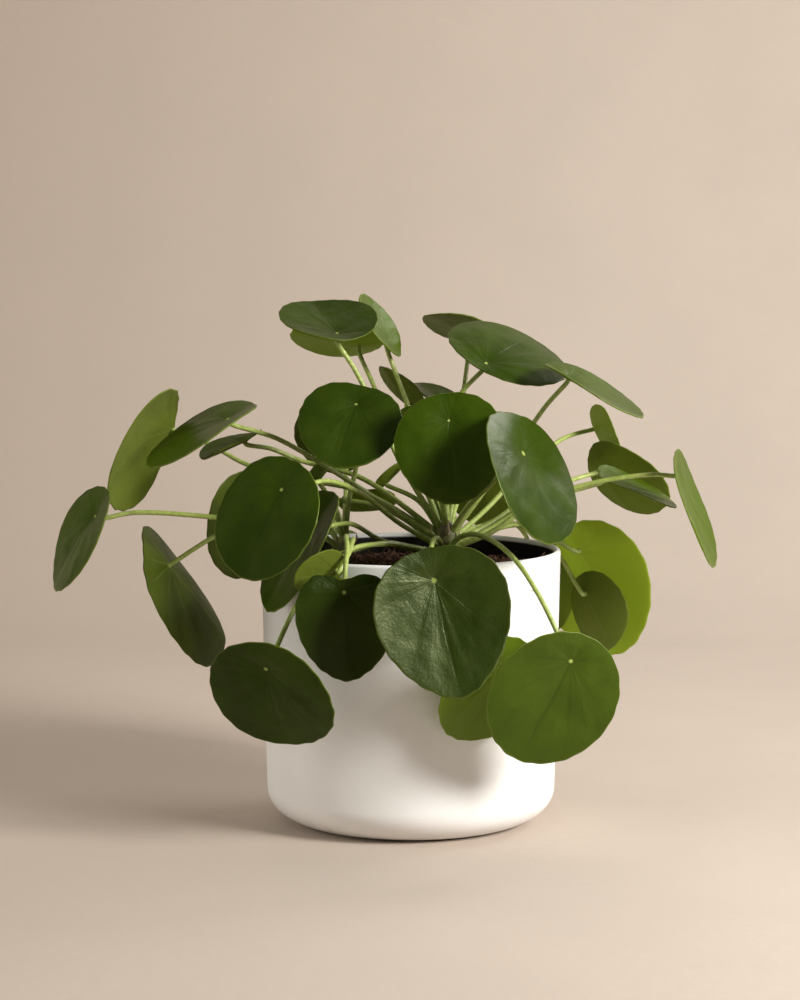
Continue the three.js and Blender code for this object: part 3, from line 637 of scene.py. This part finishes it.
def smooth_path(knots, steps):
    """Points on a centripetal Catmull-Rom curve through the knots."""
    knots = [Vector(knot) for knot in knots]
    knots = [knots[0] * 2 - knots[1], *knots, knots[-1] * 2 - knots[-2]]
    path = []
    for before, start, end, after in zip(knots, knots[1:], knots[2:], knots[3:]):
        wait, step, rest = ((b - a).length ** 0.5 for a, b in ((before, start), (start, end), (end, after)))
        leave = ((start - before) / wait - (end - before) / (wait + step) + (end - start) / step) * step
        arrive = ((end - start) / step - (after - start) / (step + rest) + (after - end) / rest) * step
        bend = 3 * (end - start) - 2 * leave - arrive
        turn = 2 * (start - end) + leave + arrive
        for i in range(steps):
            share = i / steps
            path.append(start + leave * share + bend * share ** 2 + turn * share ** 3)
    return path + [knots[-2]]


def line_mesh(name, paths, radius, taper):
    """A mesh of bare lines. The taper gives shares of the radius at shares of a line."""
    places, shares = zip(*taper)
    points, edges, radii = [], [], []
    for path in paths:
        edges += [(len(points) + i, len(points) + i + 1) for i in range(len(path) - 1)]
        points += [tuple(point * MM) for point in path]
        radii += [radius * np.interp(i / (len(path) - 1), places, shares) * MM for i in range(len(path))]
    mesh = bpy.data.meshes.new(name)
    mesh.from_pydata(points, edges, [])
    mesh.attributes.new("thickness", "FLOAT", "POINT").data.foreach_set("value", radii)
    return mesh


def tube_tree(name, material, sides):
    """A tree that makes every line of a mesh a round closed tube of its own thickness."""
    tree, given = new_tree(name, {"Sides": sides})
    curve = add_node(tree, "GeometryNodeMeshToCurve", {"Mesh": given["Geometry"]})
    ring = add_node(tree, "GeometryNodeCurvePrimitiveCircle", {"Resolution": given["Sides"]})
    thickness = add_node(tree, "GeometryNodeInputNamedAttribute", {"Name": "thickness"}, data_type="FLOAT")
    tube = add_node(tree, "GeometryNodeCurveToMesh", {
        "Curve": curve, "Profile Curve": ring, "Scale": thickness, "Fill Caps": True})
    finish_tree(add_node(tree, "GeometryNodeSetShadeSmooth", {"Geometry": tube}), material)
    return tree


def plant_skin(name, pale, deep, grain_scale, roughness):
    """A fleshy green skin with a fine grain, broad patches and a waxy shine."""
    material, tree, place = new_material(name)
    grain = noise(place, grain_scale, 4, 0.6)
    patches = noise(place, 60, 2)
    cover(add_node(tree, "ShaderNodeBsdfPrincipled", {
        "Base Color": blend_colours(map_range(grain * 0.6 + patches * 0.4, 0.36, 0.62), pale, deep),
        "Roughness": roughness, "Subsurface Weight": 0.25, "Subsurface Radius": (0.5, 0.8, 0.2),
        "Subsurface Scale": 0.002, "Normal": relief(grain, 0.0003)}))
    return material


stem_skin = plant_skin("stem_skin", (0.20, 0.21, 0.07), (0.10, 0.085, 0.04), 300, 0.55)
stalk_skin = plant_skin("stalk_skin", (0.40, 0.47, 0.13), (0.26, 0.33, 0.07), 500, 0.38)
stipule_skin = plant_skin("stipule_skin", (0.62, 0.45, 0.33), (0.42, 0.28, 0.20), 700, 0.7)
stem_tree = tube_tree("stem_tubes", stem_skin, 20)
stalk_tree = tube_tree("stalk_tubes", stalk_skin, 12)
stipule_tree = tube_tree("stipule_tubes", stipule_skin, 6)
STEM_TAPER = [(0, 0.95), (0.45, 1), (0.6, 0.94), (0.72, 1.02),
              (0.8, 0.95), (0.9, 0.8), (0.96, 0.62), (1, 0.2)]
STALK_TAPER = [(0, 1.25), (0.05, 1.15), (0.15, 1), (0.6, 0.88), (0.93, 0.9), (1, 1.15)]
STIPULE_TAPER = [(0, 1.1), (0.4, 0.9), (1, 0.1)]
STEM_STEPS = 30
STALK_STEPS = 9
STIPULE_STEPS = 4
STIPULE_COUNT = 16
STIPULE_FIRST = 3
STIPULE_GAP = 1.35
STIPULE_FOOT = 0.75
STIPULE_COURSE = [(0, 0), (2.2, 2.4), (2.6, 6)]

for stem_name, stem in stems.items():
    foot, head = Vector(stem["foot"]), Vector(stem["head"])
    bar_path = [foot.lerp(head, i / STEM_STEPS) for i in range(STEM_STEPS + 1)]
    bar_line = line_mesh("bar", [bar_path], stem["radius"], STEM_TAPER)
    bar = grown(stem_name + "_bar", bar_line, stem_tree, {})
    paths = []
    for leaf in leaves:
        if leaf["stem"] != stem_name:
            continue
        up = blade_axes(leaf)[2]
        joint = Vector(leaf["joint"])
        root = foot.lerp(head, (leaf["root"] - foot.z) / (head.z - foot.z))
        paths.append(smooth_path([root, *leaf["course"], joint - up * leaf["hook"] * HOOK_SHARE,
                                  joint - up * BLADE_THICKNESS * STALK_SUNK], STALK_STEPS))
    stalk_lines = line_mesh("stalks", paths, STALK_RADIUS, STALK_TAPER)
    stalks = grown(stem_name + "_stalks", stalk_lines, stalk_tree, {})
    # Small brown scales stand round the stem where its older leaves grew.
    scales = []
    for i in range(STIPULE_COUNT):
        height = head.z - STIPULE_FIRST - STIPULE_GAP * i
        out = Vector((math.cos(GOLDEN_TURN * i), math.sin(GOLDEN_TURN * i), 0))
        base = foot.lerp(head, (height - foot.z) / (head.z - foot.z)) + out * stem["radius"] * STIPULE_FOOT
        scales.append(smooth_path(
            [base + out * away + Vector((0, 0, rise)) for away, rise in STIPULE_COURSE], STIPULE_STEPS))
    stipule_lines = line_mesh("stipules", scales, 1, STIPULE_TAPER)
    stipules = grown(stem_name + "_stipules", stipule_lines, stipule_tree, {})
    for piece in (bar, stalks, stipules):
        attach(piece, "root")
        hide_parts(stem_name)

# The leaves. Each is a thin, fleshy, nearly round blade with shallow scallops round its edge,
# held by its stalk a little off the middle. Its face is dark and waxy with a pale dot over the
# stalk, and its back is lighter and dull. Light shows through it as yellow green.
FACE_DARK = (0.022, 0.045, 0.0008)
FACE_LIGHT = (0.038, 0.070, 0.0015)
FACE_PALE_AND_LIT = (0.12, 0.18, 0.006)
FACE_VEIN_AND_SHADE = (0.016, 0.030, 0.001)
RIM_GREEN = (0.22, 0.28, 0.04)
DOT_GREEN = (0.42, 0.52, 0.12)
BACK_DARK = (0.045, 0.065, 0.003)
BACK_LIGHT = (0.062, 0.085, 0.005)
BACK_PALE_AND_LIT = (0.24, 0.29, 0.035)
BACK_VEIN = (0.22, 0.27, 0.06)
GLOW_GREEN = (0.62, 0.76, 0.17)
GLOW_VEIN = (0.78, 0.88, 0.4)


def combined(*parts):
    """A vector from its three parts."""
    tree = next(part.tree for part in parts if isinstance(part, Result))
    return add_node(tree, "ShaderNodeCombineXYZ", dict(enumerate(parts)))


def leaf_material(name, shine):
    """The skin of both faces of a blade, with its veins, its pale edge and its dot over the stalk.
    Its tone also paints light and shade, and the face's veins are partly painted shade in their grooves.
    """
    material, tree, place = new_material(name)
    blade_map = add_node(tree, "ShaderNodeAttribute", {}, "Vector", attribute_name="blade_map")
    blade_kind = add_node(tree, "ShaderNodeAttribute", {}, "Vector", attribute_name="blade_kind")
    ahead, beside, share = split(blade_map)
    tone_and_shading, phase, upper = split(blade_kind)
    reach = maths("SQRT", ahead * ahead + beside * beside)
    waver = noise(place, 70, 2) - 0.5
    wavering = maths("ARCTAN2", beside, ahead) + waver * 0.3
    vein_line = maths("ABSOLUTE", maths("SINE", wavering * 4.5)) * reach
    veins = (1.0 - map_range(vein_line, 0.004, 0.035)) * map_range(share, 0.95, 0.45)
    midrib = 1.0 - map_range(maths("ABSOLUTE", beside), 0.003, 0.018)
    midrib = midrib * map_range(ahead, 0.0, 0.03) * map_range(share, 0.99, 0.7)
    ribs = maths("MAXIMUM", veins, midrib)
    rim = map_range(share, 0.975, 0.997)
    joint_dot = 1.0 - map_range(reach + waver * 0.03, 0.006, 0.02)
    clouds = noise(place, 45, 4, 0.55)
    patches = map_range(clouds, 0.3, 0.7)

    face = blend_colours(patches, FACE_DARK, FACE_LIGHT)
    # Painted light: a pale tone makes the face paler for leaves lit from behind, besides giving each leaf
    # its own green.
    face = blend_colours(tone_and_shading, face, FACE_PALE_AND_LIT)
    # The face is darker along the veins: partly their own colour, partly painted shade in their grooves.
    face = blend_colours(ribs * 0.3, face, FACE_VEIN_AND_SHADE)
    face = blend_colours(rim * 0.4, face, RIM_GREEN)
    face = blend_colours(joint_dot, face, DOT_GREEN)
    # Painted shade: a dark tone darkens the face, down to a twentieth, for leaves that sit in shadow.
    face = scaled(face, map_range(tone_and_shading, -1.0, 0.0, 0.05, 1.0, kind="LINEAR"))
    back = blend_colours(patches, BACK_DARK, BACK_LIGHT)
    # Painted light: a pale tone makes the back paler for leaves lit from behind.
    back = blend_colours(tone_and_shading, back, BACK_PALE_AND_LIT)
    back = blend_colours(ribs * 0.2, back, BACK_VEIN)

    # Wrinkles run out from the stalk, cells cover the skin and clouds are its broad swellings.
    outward = add_node(
        tree, "ShaderNodeVectorMath", {0: combined(ahead, beside, 0.0)}, operation="NORMALIZE")
    rays = add_node(tree, "ShaderNodeVectorMath", {
        0: outward, 1: (9, 9, 0), 2: combined(0.0, 0.0, reach * 3.0 + phase)}, operation="MULTIPLY_ADD")
    wrinkles = noise(rays, 1.0)
    cells = noise(place, 650, 3, 0.6)
    height = wrinkles * 0.2 + cells * 0.2 + clouds * 0.8 - veins * 0.06 - midrib * 0.1
    bumped = relief(height, 0.0006)
    waxy = add_node(tree, "ShaderNodeBsdfPrincipled", {
        "Base Color": blend_colours(upper, back, face),
        "Roughness": map_range(clouds, 0.3, 0.7, 0.32, 0.40) + (1.0 - upper) * 0.2,
        "Specular IOR Level": shine, "Specular Tint": (0.9, 1.0, 0.55, 1), "Normal": bumped})
    glow = add_node(tree, "ShaderNodeBsdfTranslucent", {
        "Color": blend_colours(ribs * 0.25, GLOW_GREEN, GLOW_VEIN), "Normal": bumped})
    cover(add_node(tree, "ShaderNodeMixShader", {
        0: map_range(tone_and_shading, 0.0, 1.0, 0.02, 0.6, kind="LINEAR"), 1: waxy, 2: glow}))
    return material


# Leaves that have lost part of their wax have a weaker shine.
leaf_skin = leaf_material("leaf_skin", 0.36)
dull_leaf_skin = leaf_material("dull_leaf_skin", 0.15)

# The tree's inputs have the names that the leaves' own values have. Points nearer than WELD merge.
WELD = 0.000001
SCALLOPS = 20
LOBES = 3
RIDGES = 8
tree, given = new_tree("leaf_blade", {
    "length": 0.05, "width": 0.05, "seat": 0.24, "cup": 0.0, "fold": 0.0, "heel_bend": 0.0,
    "wave": 0.012, "tip": 0.015, "notch": 0.03, "egg": 0.0, "phase": 0.0, "tone_and_shading": 0.0,
    "thickness": BLADE_THICKNESS * MM, "rings": 24, "spokes": 140, "skin": leaf_skin})
phase = given["phase"]

# The outline, in shares of the blade's length: a circle with scallops, a tip and a notch at its heel.
grid = add_node(tree, "GeometryNodeMeshGrid", {
    "Size X": 1.0, "Size Y": 1.0, "Vertices X": given["rings"] + 1, "Vertices Y": given["spokes"] + 1})
across_grid, down_grid, _ = split(add_node(tree, "GeometryNodeInputPosition"))
outward = across_grid + 0.5
angle = (down_grid + 0.5) * (2 * math.pi)
forward = maths("COSINE", angle)
sideways = maths("SINE", angle)
share = outward * (1.5 - outward * outward * 0.5)
uneven = noise(combined(forward * 2.6, sideways * 2.6, phase), 1.0) - 0.5
outline = maths("SINE", angle * SCALLOPS + phase) * (uneven * 0.024 + 0.006) + 1.0
outline = outline + uneven * 0.02 + maths("SINE", angle * LOBES + phase) * 0.012
outline = outline + maths("EXPONENT", (forward - 1.0) * 18) * given["tip"]
outline = outline - maths("EXPONENT", (forward + 1.0) * -10) * given["notch"]
half = outline * 0.5
ahead = share * (given["seat"] + half * forward)
slim = given["width"] / given["length"]
beside = share * (half * sideways * slim * (1.0 - given["egg"] * forward))

# The face's rise: its cup, its fold along the middle, the bent heel, waves at the edge, a dimple over
# the stalk, ridges along the veins and bulges between them.
ahead_square = ahead * ahead
beside_square = beside * beside
square = ahead_square + beside_square
share_cubed = share * share * share
inside_rim = share * (1.0 - share_cubed)
crease = maths("SQRT", beside_square + 0.0016) - 0.04
heel_bend = maths("LESS_THAN", ahead, 0.0) * given["heel_bend"]
ripple = maths("SINE", angle * LOBES + phase * 1.7) * share_cubed
dimple = 1.0 - maths("EXPONENT", square / -0.012)
ridges = maths("SINE", angle * RIDGES + uneven * 5.0) * (inside_rim * 0.004)
bulges = (noise(combined(ahead, beside, phase), 6.0, 2) - 0.5) * (inside_rim * 0.035)
rise = given["cup"] * square + crease * given["fold"] + ahead_square * heel_bend
rise = rise + ripple * given["wave"] + dimple * 0.018 + ridges + bulges
mapped = add_node(tree, "GeometryNodeStoreNamedAttribute", {
    "Geometry": grid, "Name": "blade_map", "Value": combined(ahead, beside, share)},
    data_type="FLOAT_VECTOR", domain="POINT")
shaped = add_node(tree, "GeometryNodeSetPosition", {
    "Geometry": mapped, "Position": scaled(combined(ahead, beside, rise), given["length"])})
sheet = add_node(tree, "GeometryNodeMergeByDistance", {"Geometry": shaped, "Distance": WELD})

# Both faces stand off the sheet by half the thickness, and round over to meet at the rim.
RIM_START = 0.982
edge_share = split(add_node(
    tree, "GeometryNodeInputNamedAttribute", {"Name": "blade_map"}, data_type="FLOAT_VECTOR"))[2]
into_rim = maths("MAXIMUM", edge_share - RIM_START, 0.0) * (1 / (1 - RIM_START))
rounding = maths("SQRT", maths("MAXIMUM", 1.0 - into_rim * into_rim, 0.0))
half_thick = given["thickness"] * 0.5
face_normal = add_node(tree, "GeometryNodeInputNormal")
faces_of_blade = []
for sign, upper in ((1, 1.0), (-1, 0.0)):
    lift = scaled(face_normal, rounding * half_thick * sign - half_thick)
    face = add_node(tree, "GeometryNodeSetPosition", {"Geometry": sheet, "Offset": lift})
    face = add_node(tree, "GeometryNodeStoreNamedAttribute", {
        "Geometry": face, "Name": "blade_kind", "Value": combined(given["tone_and_shading"], phase, upper)},
        data_type="FLOAT_VECTOR", domain="POINT")
    if sign < 0:
        face = add_node(tree, "GeometryNodeFlipFaces", {"Mesh": face})
    faces_of_blade.append(face)
closed = add_node(tree, "GeometryNodeMergeByDistance", {
    "Geometry": joined(tree, *faces_of_blade), "Distance": WELD})
finish_tree(add_node(tree, "GeometryNodeSetShadeSmooth", {"Geometry": closed}), given["skin"])

empty = bpy.data.meshes.new("no_mesh")
for index, leaf in enumerate(leaves):
    length, width = leaf["size"]
    blade = grown(leaf["name"] + "_blade", empty, tree, {
        "length": length * MM, "width": width * MM, "phase": index * GOLDEN_TURN,
        "skin": dull_leaf_skin if leaf.get("dull") else leaf_skin,
        **{key: float(value) for key, value in leaf.items() if key in given}})
    turned_axes = Matrix(blade_axes(leaf)).transposed().to_4x4()
    blade.data.transform(Matrix.Translation(Vector(leaf["joint"]) * MM) @ turned_axes)
    blade.data.update()
    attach(blade, "root")
    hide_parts(leaf["name"])
